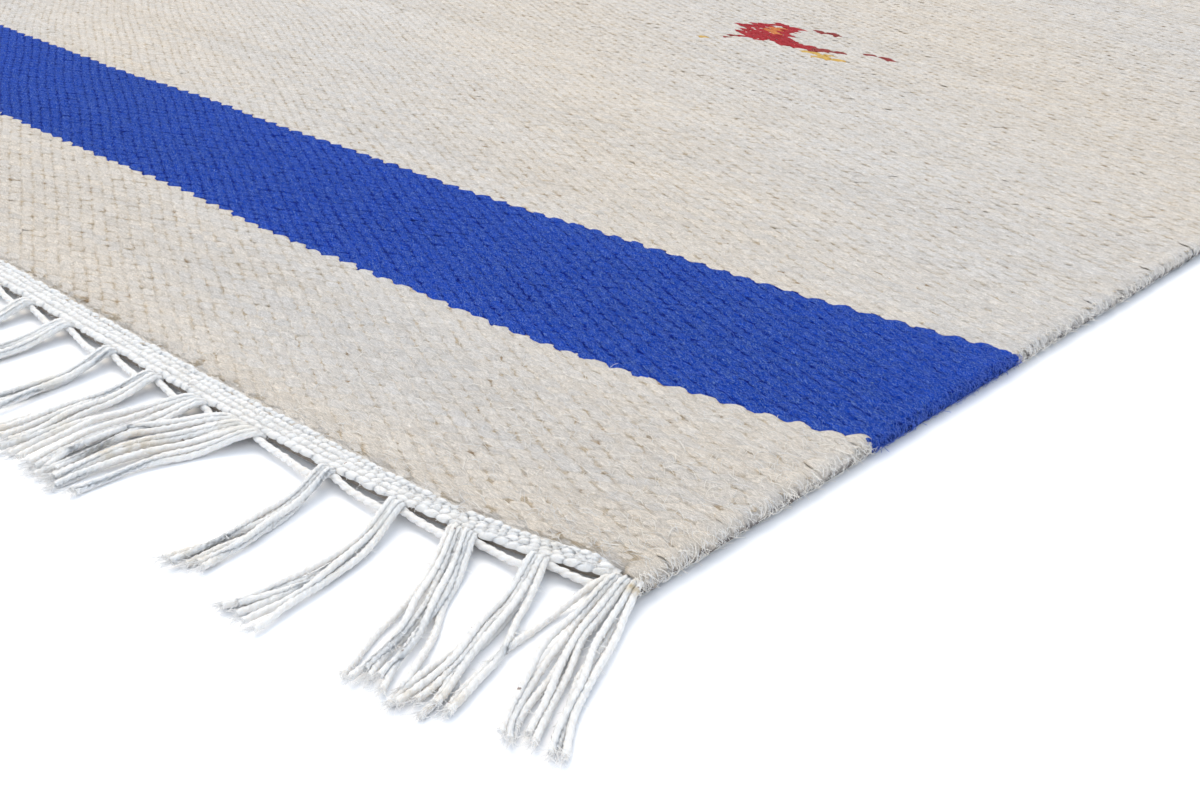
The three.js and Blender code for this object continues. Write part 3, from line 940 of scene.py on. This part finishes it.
# %% Mix the cotton material
def cotton_material():
    material, tree, shader = new_material("cotton")
    yarn_map = add_node(tree, "ShaderNodeUVMap", uv_map="UVMap").outputs[0]
    crown = attribute(tree, "crown")
    place = place_on_rug(tree)
    streaks = fibrous(tree, yarn_map, (1.5, 0.26, 1.0), 24, 3.0, 0.65, 0.6)
    fluff = noise(tree, place, 1350.0, 4.0, 0.72, 1.0)
    weaker = product(tree, streaks, 0.45)
    fibres = math_node(tree, "ADD", weaker, product(tree, fluff, 0.55))
    bright = remap(tree, fibres, 0.38, 0.60)
    colour = mix_colours(tree, bright, (0.70, 0.686, 0.667, 1), (0.77, 0.758, 0.742, 1))
    # Painted shade in the grooves between the plies, warm grey and patchy.
    in_groove = remap(tree, crown, 0.2, 0.8, 1.0, 0.0)
    ply_groove_shade = product(tree, in_groove, remap(tree, fluff, 0.4, 0.6, 0.1, 0.36))
    patchy = remap(tree, noise(tree, place, 380.0), 0.4, 0.6, 0.1, 0.9)
    layers = [  # how much of it shows, and its colour
        (remap(tree, noise(tree, place, 85.0, 3.0), 0.56, 0.74, 0.0, 0.5), (0.63, 0.575, 0.49, 1)),
        (ply_groove_shade, (0.58, 0.545, 0.49, 1)),
        # Dark painted shade on the outer side of a band's core, where the crown is below 0.
        (remap(tree, crown, -1.0, -0.2, 1.0, 0.0), (0.22, 0.19, 0.16, 1)),
        (product(tree, attribute(tree, "stain"), patchy), (0.36, 0.27, 0.14, 1)),
        (remap(tree, noise(tree, place, 560.0, 1.0), 0.765, 0.785, 0.0, 0.75), (0.14, 0.08, 0.06, 1)),
    ]
    for share, layer in layers:
        colour = mix_colours(tree, share, colour, layer)
    surface(tree, shader, colour, fibres, 0.9, 0.5, 0.92, 0.12)
    soft = {"Weight": 0.75, "Radius": (1.0, 0.9, 0.8), "Scale": 1.9 * MM}
    fill(tree, shader, {"Subsurface " + key: value for key, value in soft.items()})
    return material


cotton = cotton_material()

# %% [markdown]
# ## End bands
#
# Across each end the warps are held by rows of cotton, twined over them and packed into a flat band. What
# shows are four rows of small slanted stitches, of which the outermost has the longest and lies like a cord
# along the edge. Each stitch is again a pillow on a point, over a plain white strip that fills the band, with
# painted shade on its outer side.

# %% Twine the bands
# Each row lies at a share of the band's width, from its inner side, and has the height of its top, the
# pitch of its stitches, their slant in degrees and how much longer they are than a plain one.
band_rows = [
    {"share": 0.12, "top": 4.7, "pitch": 2.05, "slant": -12, "longer": 1.15},
    {"share": 0.32, "top": 4.5, "pitch": 2.3, "slant": -20, "longer": 1.0},
    {"share": 0.56, "top": 4.45, "pitch": 2.3, "slant": -20, "longer": 1.0},
    {"share": 0.81, "top": 4.25, "pitch": 2.8, "slant": -12, "longer": 1.3},
]
stitch_drop = 1.25  # from the top of a stitch to its foot
band_inset = 6.2  # from the selvedge to the end of a band


def band_place(x, share, end):
    """Y of a place in the band: share 0 is its inner side and 1 its outer side."""
    from_selvedge = half_width - np.abs(x)
    return end * (end_reach(from_selvedge) - (1 - share) * band_width_at(from_selvedge))


def lay_stitches(end):
    layouts = []
    for number, row in enumerate(band_rows):
        reach = half_width - band_inset - 1.0 - 2.4 * (1 - row["share"])
        count = round(2 * reach / row["pitch"])
        stitch = np.arange(count)
        x = (2 * (stitch + 0.5) / count - 1) * reach + 0.25 * uneven(stitch, 31 + number + end)
        y = band_place(x, row["share"], end) + 0.16 * uneven(stitch, 34 + number)
        slope = np.arctan2(band_place(x + 1, row["share"], end) - band_place(x - 1, row["share"], end), 2)
        z = row["top"] - stitch_drop + 0.14 * uneven(stitch, 37 + number)
        turn = slope + end * math.radians(row["slant"]) + 0.16 * uneven(stitch, 40 + number)
        layout = layout_of(x, y, z, turn, np.ones((count, 3)))
        layouts.append({**layout, "longer": row["longer"] * (1 + 0.12 * uneven(stitch, 43 + number))})
    return joined(layouts)


def band_strip(name, end):
    """The plain core of a band, a closed strip. Its outer side, behind the cord, gets dark painted shade."""
    # Points with a crown of -1 get dark painted shade from the cotton material.
    outline = [  # share of the width, height and crown
        (0, 0.5, 0.1),
        (0, 3.6, 0.1),
        (0.2, 3.8, 0.1),
        (0.75, 3.5, 0.1),
        (0.9, 2.8, -1.0),
        (0.88, 1.8, -1.0),
        (0.75, 1.3, -1.0),
        (0.2, 0.5, 0.1),
    ]
    x = np.linspace(-(half_width - band_inset), half_width - band_inset, 121)
    lines = [np.stack([x, band_place(x, share, end), np.full(len(x), z)], axis=1) for share, z, _ in outline]
    points = np.stack(lines, axis=1).reshape(-1, 3)
    count = len(outline)
    faces = ring_faces(len(x), count)
    last = (len(x) - 1) * count
    faces += [tuple(range(count))[::-1], tuple(last + j for j in range(count))]
    if end < 0:
        faces = [face[::-1] for face in faces]
    mesh = new_mesh(name, points, faces=faces)
    set_attribute(mesh, "crown", "FLOAT", "POINT", np.tile([crown for _, _, crown in outline], len(x)))
    mesh.materials.append(cotton)
    return new_object(name, mesh)


bands = {}
for side, end, fineness in (("near", -1, (6, 3)), ("far", 1, (3, 2))):
    stitch_shape = pillow("stitch", 3.9, 2.0, 1.2, *fineness)
    values = {
        "Float": stitch_shape,
        "Size spread": 0.08,
        "Seed": 21 + end,
        "Unevenness": 0.5 * MM,
        "Material": cotton,
    }
    name = f"band_stitches_{side}"
    stitches = grow(name, points_mesh(name, lay_stitches(end)), put_floats, values)
    bpy.data.objects.remove(stitch_shape)
    bands[side] = (band_strip(f"band_core_{side}", end), stitches)

# %% [markdown]
# ## Yarns
#
# Cord and fringe are two plies twisted together. A yarn starts as a chain of points that carry its
# thickness, its twist and its length so far. A second tree turns the chains into curves and sweeps a section
# with two lobes along them, turned by the twist, which gives the plies of a real cord.

# %% Build the tree that spins yarns
def yarn_tree():
    inputs = [
        ("Sides", "Int", 8),
        ("Yarn radius", "Float", 0.7 * MM),
        ("Lobe depth", "Float", 0.45),
        ("Unevenness", "Float", 0.0),
        ("Material", "Material", None),
    ]
    tree, group_in, group_out = start_tree("spin_yarns", inputs)
    radius = group_in.outputs["Yarn radius"]
    depth = group_in.outputs["Lobe depth"]
    curves = add_node(tree, "GeometryNodeMeshToCurve", {"Mesh": group_in.outputs["Layout"]}).outputs[0]
    thick = {"Curve": curves, "Radius": named(tree, "thick")}
    thickened = add_node(tree, "GeometryNodeSetCurveRadius", thick).outputs[0]
    twist = {"Curve": thickened, "Tilt": named(tree, "twist")}
    twisted = add_node(tree, "GeometryNodeSetCurveTilt", twist).outputs[0]

    round_section = {"Resolution": group_in.outputs["Sides"], "Radius": radius}
    circle = add_node(tree, "GeometryNodeCurvePrimitiveCircle", round_section).outputs[0]
    at = add_node(tree, "GeometryNodeInputPosition").outputs[0]
    out = math_node(tree, "ABSOLUTE", math_node(tree, "DIVIDE", parts_of(tree, at)[0], radius))
    marked = store(tree, circle, "crown", out)
    numbered = store(tree, marked, "around", add_node(tree, "GeometryNodeInputIndex").outputs[0])
    drawn_in = math_node(tree, "SUBTRACT", 1.0, depth)
    share = math_node(tree, "ADD", drawn_in, product(tree, depth, out))
    lobed = {"Geometry": numbered, "Position": times(tree, at, share)}
    section = add_node(tree, "GeometryNodeSetPosition", lobed).outputs[0]

    sweep = {"Curve": twisted, "Profile Curve": section, "Fill Caps": True}
    swept = add_node(tree, "GeometryNodeCurveToMesh", sweep).outputs[0]
    around = product(tree, named(tree, "around"), 0.55)
    flat = combined(tree, X=named(tree, "along"), Y=around)
    mapped = store(tree, swept, "UVMap", flat, "CORNER", "FLOAT2")
    amount = group_in.outputs["Unevenness"]
    offset = pushes(tree, at, amount, Scale=900.0, Detail=2.0, Roughness=0.6)
    finish_tree(tree, group_in, group_out, mapped, offset)
    return tree


def chains_mesh(name, chains):
    """Chains of points as loose edges. Each chain is a dictionary of its points and their numbers."""
    edges = []
    start = 0
    for chain in chains:
        count = len(chain["points"])
        edges += [(start + i, start + i + 1) for i in range(count - 1)]
        start += count
    mesh = new_mesh(name, np.concatenate([chain["points"] for chain in chains]), edges)
    for key in ("along", "thick", "twist", "stain"):
        values = [np.broadcast_to(chain.get(key, 0.0), (len(chain["points"]),)) for chain in chains]
        set_attribute(mesh, key, "FLOAT", "POINT", np.concatenate(values))
    return mesh


def chain_of(points, twist_pitch, salt, thick, stain=0.0):
    """A yarn through these points, with one full twist in each pitch."""
    along = np.concatenate([[0], np.cumsum(np.linalg.norm(np.diff(points, axis=0), axis=1))])
    phase = 3.1 * vary(salt, 51)
    return {
        "points": points,
        "along": along + 40 * vary(salt, 52),
        "thick": thick,
        "twist": -2 * np.pi * along / twist_pitch + phase,
        "stain": stain,
    }


spin_yarns = yarn_tree()
print("yarn tree nodes:", len(spin_yarns.nodes))

# %% [markdown]
# ## Where the tassels hang
#
# The tassels near the camera are laid one by one, as they lie. Each row gives the place of the root from the
# selvedge, the number of strands, how wide they start, how long they are, the way they lean, how they fan
# out and sway, and how far the outermost strays. The rest follows a plain rule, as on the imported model.

# %% List the tassels
LAID = [  # root, strands, spread, length, lean, fan, sway, stray
    (4.1, 9, 5.6, 42.0, 23.5, 14, -2.4, -11),
    (21.0, 6, 3.6, 42, 20, 13, 1.8, 0),
    (37.8, 7, 6.2, 41.5, 30, 5, 1, -4),
    (54.5, 6, 4.0, 39.5, 10, 10, 3.5, 0),
    (74.4, 6, 4.0, 36, 10, 10, 2.5, 0),
    (101, 10, 12.5, 38, -18, 9, -5.5, 0),
    (118.5, 6, 4.2, 37, -5, 11, -4, -4),
    (137.3, 6, 4.2, 36, -1, 14, 0, 0),
    (157, 6, 4.2, 38, 2, 11, 2.5, 0),
    (178.5, 6, 4.2, 39, 1, 13, 0, 0),
    (198, 6, 4.2, 40, 5, 11, 1, 0),
]
tassel_pitch = 19.8
last_root = 6.2


def ruled_tassels(first, end):
    """Tassels from the one at this root to the other selvedge, with rows as above."""
    room = 2 * half_width - last_root - first
    count = round(room / tassel_pitch)
    salt = end + 2
    tassels = []
    for i in range(count):
        outermost = i == count - 1
        tassels.append(
            (
                first + (i + 1) * room / count + (0 if outermost else 1.4 * vary(i, salt)),
                6 if outermost else 4 + i % 2,
                5.6 if outermost else 4.9,
                41 + 2.5 * vary(i, salt + 3),
                9 + 4 * math.sin(1.1 * i + salt) + 2 * vary(i, salt + 6),
                10 + 2 * vary(i, salt + 9),
                0,
                0,
            )
        )
    return tassels


ruled_near = ruled_tassels(LAID[-1][0], -1)
ruled_far = ruled_tassels(last_root - tassel_pitch, 1)
print("tassels:", len(LAID) + len(ruled_near), "near and", len(ruled_far), "far")

# %% [markdown]
# ## Fringe and linking cord
#
# Each bundle of warps comes out of the band, bends over the linking cord and falls to the floor, where its
# strands lie side by side and partly on one another, a little wavy. The cord runs from root to root and
# hangs away from the band in between, which leaves wedges, dark in their own shadow and from the painted
# shade on the band's outer side.

# %% Lay the strands and the cord
strand_radius = 0.77
strand_starts_at = -0.9  # from the band's outer side


def outside_band(x, end, distance):
    """Y of a place at this distance from the band's outer side."""
    return end * (end_reach(half_width - np.abs(x)) + distance)


def strand_height(out, floor_lift):
    """Height of a strand over the floor, by its distance from the band."""
    over_cord = 2.4 + 1.05 * smooth_step(out, -0.9, 1.5)
    drop = smooth_step(out, 0.8, 15)
    return over_cord * (1 - drop) + floor_lift * drop


def lay_strands(tassels, end, steps):
    """The strands of these tassels, each a chain of this many steps."""
    chains = []
    for number, (root, strands, spread, length, lean, fan, sway, stray) in enumerate(tassels):
        for i in range(strands):
            salt = number * 11 + i + (end + 1) * 500
            place = 2 * i / (strands - 1) - 1  # across the tassel, from -1 to 1
            strayed = stray if i == 0 else 0
            angle = math.radians(lean + place * fan * 0.36 + strayed + 1.8 * vary(salt, 60))
            own_length = length * (1 + 0.05 * vary(salt, 61)) + 2.5

            # A bent path from the band to the tip, with small waves where the strand lies loose.
            start_x = half_width - root + place * spread * 0.42
            start = np.array([start_x, float(outside_band(start_x, end, strand_starts_at))])
            tip = start + own_length * np.array([math.sin(angle), end * math.cos(angle)])
            own_sway = sway * (1 - 0.5 * place) + 0.8 * vary(salt, 67)
            bend = (start + tip) / 2 + np.array([2 * own_sway, 0])
            t = np.linspace(0, 1, steps + 1)[:, None]
            flat = (1 - t) ** 2 * start + 2 * t * (1 - t) * bend + t * t * tip
            out = t[:, 0] * own_length + strand_starts_at
            loose = smooth_step(out, 5, 24)
            side = np.array([math.cos(angle), -end * math.sin(angle)])
            wave = 0.12 * np.sin(out / 2.6 + 5 * uneven(salt, 62))
            wave = wave + 0.55 * np.sin(out / 5.5 + 5 * uneven(salt, 63))
            flat = flat + (wave * loose)[:, None] * side

            # Up over the cord and down to the floor, on one of three levels that settle towards the tip.
            level = (i * 2) % 3
            stacked = 0.72 * level * (1 - 0.6 * smooth_step(out, 16, 38))
            z = strand_height(out, strand_radius + 0.05 + stacked)
            z = z + stacked * 0.4 * (1 - smooth_step(out, 1.0, 8.0))
            z = z + 0.20 * loose * (1 + np.sin(out / 4.2 + 6 * uneven(salt, 64)))
            points = np.concatenate([flat, z[:, None]], axis=1)

            # It swells before the tip and ends thin. A few strands are soiled, most at the corner's root.
            thick = 0.97 + 0.10 * np.sin(out / 3.7 + 6 * uneven(salt, 65))
            thick = thick + 0.22 * smooth_step(out, own_length - 9, own_length - 5)
            thick = thick * (1 - 0.75 * smooth_step(out, own_length - 4.5, own_length - 1.4))
            stain = 0.30 * smooth_step(out, own_length - 9, own_length - 3) * (number % 3 == 1)
            if number == 0 and end < 0 and i >= strands - 3:
                stain = 1 - smooth_step(out, 2.5, 6.0)
            if number == 5 and end < 0 and i < strands - 4:
                stain = 0.45 * smooth_step(out, 12, 20) * (1 - smooth_step(out, 27, 34))
            twist_pitch = max(3.0 + 0.5 * vary(salt, 66), 7 * own_length / steps)
            chains.append(chain_of(points, twist_pitch, salt, thick, stain))
    return chains


def lay_cord(tassels, end, step):
    """The cord on which the tassels hang. It leaves each root at the band and drifts out to the next."""
    roots = sorted((half_width - root, math.tan(math.radians(lean))) for root, _, _, _, lean, *_ in tassels)
    chains = []
    for number, (root, _) in enumerate(roots[:-1]):
        next_root, lean = roots[number + 1]
        x = np.arange(root - 0.4, next_root + 3 * lean - 0.2, step)
        share = (x - x[0]) / (x[-1] - x[0])
        y = outside_band(x, end, 0.35 + 2.6 * share ** 1.1 + 0.12 * np.sin(x / 2.3))
        z = 2.9 - 0.65 * np.sin(share * math.pi) - 0.5 * share
        salt = number + 70 * (end + 1)
        thick = 1.0 + 0.06 * np.sin(x / 3)
        chains.append(chain_of(np.stack([x, y, z], axis=1), max(5.2, 7 * step), salt, thick))
    return chains


strand_values = {
    "Sides": 6,
    "Yarn radius": strand_radius * MM,
    "Lobe depth": 0.26,
    "Unevenness": 0.5 * MM,
    "Material": cotton,
}
cord_values = {**strand_values, "Sides": 8, "Yarn radius": 0.86 * MM}
fine_strands = lay_strands(LAID, -1, 100)
fringes = {"near": [], "far": []}
for side, name, chains, values in (
    ("near", "strands", fine_strands, strand_values),
    ("near", "further", lay_strands(ruled_near, -1, 32), strand_values),
    ("near", "cord", lay_cord(LAID + ruled_near, -1, 0.7), cord_values),
    ("far", "further", lay_strands(ruled_far, 1, 24), strand_values),
    ("far", "cord", lay_cord(ruled_far, 1, 1.4), cord_values),
):
    fringes[side].append(grow(f"fringe_{name}_{side}", chains_mesh(name, chains), spin_yarns, values))

# %% [markdown]
# ## Loose hairs
#
# Wool is never clean-edged. Fine hairs stand off the floats, bridge the hollows between them, follow the
# turns down over the selvedge and curl along its foot. Cotton has fewer and shorter ones, on the band, along
# the strands and in tufts at their tips. They are single yarns of three sides, drawn only where the camera
# is close.

# %% Grow the hairs
def hair_chain(start, heading, tilt, length, curl, lift, steps):
    """A curved hair from a point: it sets off along the heading, and curls and arches on the way."""
    t = np.linspace(0, 1, steps + 1)
    turn = heading + curl * t
    pace = length / steps
    x = start[0] + np.concatenate([[0], np.cumsum(np.cos(turn[:-1]) * pace)])
    y = start[1] + np.concatenate([[0], np.cumsum(np.sin(turn[:-1]) * pace)])
    z = start[2] + tilt * t * length + lift * np.sin(t * math.pi)
    return {"points": np.stack([x, y, np.maximum(z, 0.06)], axis=1), "thick": 1 - 0.6 * t}


def edge_y(from_end):
    """Y of the pick that turns at the selvedge at this distance from the near end."""
    return float(weft_y(last_warp_x, from_end, -1))


def edge_bulge(radius, height):
    """How far the round edge of the rug stands out at this height."""
    return math.sqrt(max(radius ** 2 - (height - panel_top / 2) ** 2, 0))


def face_hairs(count):
    """Hairs on the upper face of the nearest corner, but for the edges of the stripe."""
    chains = []
    number = np.arange(count)
    x = half_width - 2 - 140 * np.abs(uneven(number, 81)) ** 1.4
    from_end = 1.5 + 140 * np.abs(uneven(number, 82)) ** 1.3
    y = weft_y(x, from_end, -1)
    for i in range(count):
        heading = 1.1 * vary(i, 83) + math.radians(-12) + (math.pi if i % 2 else 0)
        length = 3.0 + 1.6 * vary(i, 84)
        start = (x[i], y[i], 4.72 + 0.16 * vary(i, 85))
        lift = 0.35 + 0.3 * vary(i, 86)
        chain = hair_chain(start, heading, 0.0, length, 1.1 * vary(i, 87), lift, 3)
        chain["blue"] = in_stripe(from_end[i])
        if min(abs(from_end[i] - stripe_from), abs(from_end[i] - stripe_to)) > 3:
            chains.append(chain)
    return chains


def edge_hairs(count):
    """Fibres that follow a turn of the weft down over the selvedge."""
    chains = []
    number = np.arange(count)
    from_end = -3 + 330 * np.abs(uneven(number, 91)) ** 1.4
    for i in range(count):
        start = 80 - 88 * abs(vary(i, 92))  # in degrees above the middle of the edge
        angle = np.radians(np.linspace(start, start - 38 - 18 * vary(i, 94), 5))
        reach = 2.42 + 0.10 * vary(i, 95) + 0.22 * np.sin(np.linspace(0, math.pi, 5))
        reach = reach - 0.55 * smooth_step(-angle, math.radians(5), math.radians(50))
        drift = 2.0 * vary(i, 96) * np.linspace(0, 1, 5) + 0.4 * vary(i, 97) * np.sin(angle * 3)
        x = half_width - 2.6 + np.cos(angle) * reach
        z = np.maximum(2.5 + np.sin(angle) * reach, 0.1)
        points = np.stack([x, edge_y(from_end[i]) + drift, z], axis=1)
        chains.append({"points": points, "thick": np.linspace(1, 0.4, 5), "blue": in_stripe(from_end[i])})
    return chains


def curly_hairs(count):
    """Longer hairs that curl along the foot of the selvedge."""
    chains = []
    for i in range(count):
        along = 75 * abs(vary(i, 101)) ** 1.3
        height = 0.4 + 1.6 * abs(vary(i, 102))
        start_y = edge_y(0.0) - 2.4 + along
        outward = float(selvedge_x(start_y, 1)) - 2.4 + edge_bulge(2.25, height) + 0.2 * vary(i, 107)
        start = (outward, start_y, height)
        heading = math.radians(90 + 16 * vary(i, 103))
        length = 3.0 + 1.6 * vary(i, 104)
        curl = 0.4 + 1.1 * vary(i, 105)
        chain = hair_chain(start, heading, -0.02, length, curl, 0.5 + 0.5 * vary(i, 106), 7)
        chain["blue"] = in_stripe(along)
        chains.append(chain)
    return chains


def standing_hairs(count):
    """Thin hairs that stand out from the side of the rug."""
    chains = []
    for i in range(count):
        from_end = 2 + 190 * abs(vary(i, 131))
        height = 1.4 + 2.8 * abs(vary(i, 132))
        start_y = edge_y(from_end)
        start = (float(selvedge_x(start_y, 1)) - 2.7 + edge_bulge(2.4, height), start_y, height)
        heading = 1.2 * vary(i, 133)
        length = 1.7 + 1.1 * vary(i, 134)
        chain = hair_chain(start, heading, 0.25 * vary(i, 135), length, vary(i, 136), 0.1, 3)
        chain["blue"] = in_stripe(from_end)
        chains.append(chain)
    return chains


def strand_fuzz(chains, at_tip, beside):
    """Tufts at the tips of the strands, and short fibres that stand off their sides."""
    fuzz = []
    for number, chain in enumerate(chains):
        points = chain["points"]
        for i in range(at_tip + beside):
            salt = number * 53 + i
            share = 0.97 if i < at_tip else 0.5 + 0.5 * vary(salt, 111)
            index = min(int(share * (len(points) - 1)), len(points) - 2)
            along = points[index + 1] - points[index]
            forward = math.atan2(along[1], along[0])
            spread = 0.45 if i < at_tip else 1.3
            length = (3.4 if i < at_tip else 1.9) * (1 + 0.5 * vary(salt, 113))
            start = points[index] + np.array([0, 0, 0.4 * vary(salt, 114)])
            heading = forward + spread * vary(salt, 112)
            rise = 0.22 * abs(vary(salt, 115))
            fuzz.append(hair_chain(start, heading, rise, length, 1.5 * vary(salt, 116), 0.15, 3))
    return fuzz


def band_hairs(count):
    """Short fibres on the near band, some of which hang out over its edge."""
    chains = []
    for i in range(count):
        x = half_width - 8 - 255 * abs(vary(i, 121)) ** 1.2
        share = 0.5 + 0.5 * vary(i, 122)
        start = (x, float(band_place(x, share, -1)), 4.2 - 0.9 * share ** 3)
        heading = math.radians(-90) + 2.4 * vary(i, 123)
        length = 1.9 + 1.0 * vary(i, 124)
        chains.append(hair_chain(start, heading, 0.05, length, 1.6 * vary(i, 125), 0.4, 3))
    return chains


def hair_material(name, colour):
    material, tree, shader = new_material(name)
    fill(tree, shader, {"Base Color": (*colour, 1), "Roughness": 0.8, "Specular IOR Level": 0.2})
    return material


def grow_hairs(name, chains, material, radius):
    values = {"Sides": 3, "Yarn radius": radius * MM, "Lobe depth": 0.0, "Material": material}
    return grow(name, chains_mesh(name, chains), spin_yarns, values)


pale_hair = hair_material("wool_hair", (0.80, 0.76, 0.70))
blue_hair = hair_material("wool_hair_blue", (0.07, 0.13, 0.50))
grey_hair = hair_material("wool_hair_grey", (0.74, 0.74, 0.74))
white_hair = hair_material("cotton_hair", (0.79, 0.78, 0.765))
on_wool = face_hairs(2300) + edge_hairs(1100) + standing_hairs(320)
on_natural = [chain for chain in on_wool if not chain["blue"]]
on_blue = [chain for chain in on_wool if chain["blue"]]
on_cotton = strand_fuzz(fine_strands, 16, 28) + band_hairs(700)
wool_hairs = [
    grow_hairs("hairs_natural", on_natural[::2], pale_hair, 0.06),
    grow_hairs("hairs_grey", on_natural[1::2], grey_hair, 0.04),
    grow_hairs("hairs_blue", on_blue, blue_hair, 0.05),
    grow_hairs("hairs_curly", curly_hairs(90), pale_hair, 0.07),
]
cotton_hairs = grow_hairs("hairs_cotton", on_cotton, white_hair, 0.05)

# %% [markdown]
# ## Attach every piece to the rug's body
#
# Every piece is attached to one body, the rug's root. The body of the cloth stands in for the imported panel
# and is the sheet of cloth. The floats and the turns of the wefts lie on it. Bands and fringes take the place
# of their own nodes, which are hidden.

# %% Attach the pieces and hide the nodes they replace
wool_pieces = [field_corner, field_near, field_rest, field_far, selvedges, *wool_hairs]
for piece in [cloth, *wool_pieces]:
    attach(piece, "root")
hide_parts("woven_panel")
for side in ("near", "far"):
    core, stitches = bands[side]
    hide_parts(f"end_band_{side}")
    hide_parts(f"fringe_{side}")
    loose = [cotton_hairs] if side == "near" else []
    for piece in [core, stitches, *fringes[side], *loose]:
        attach(piece, "root")
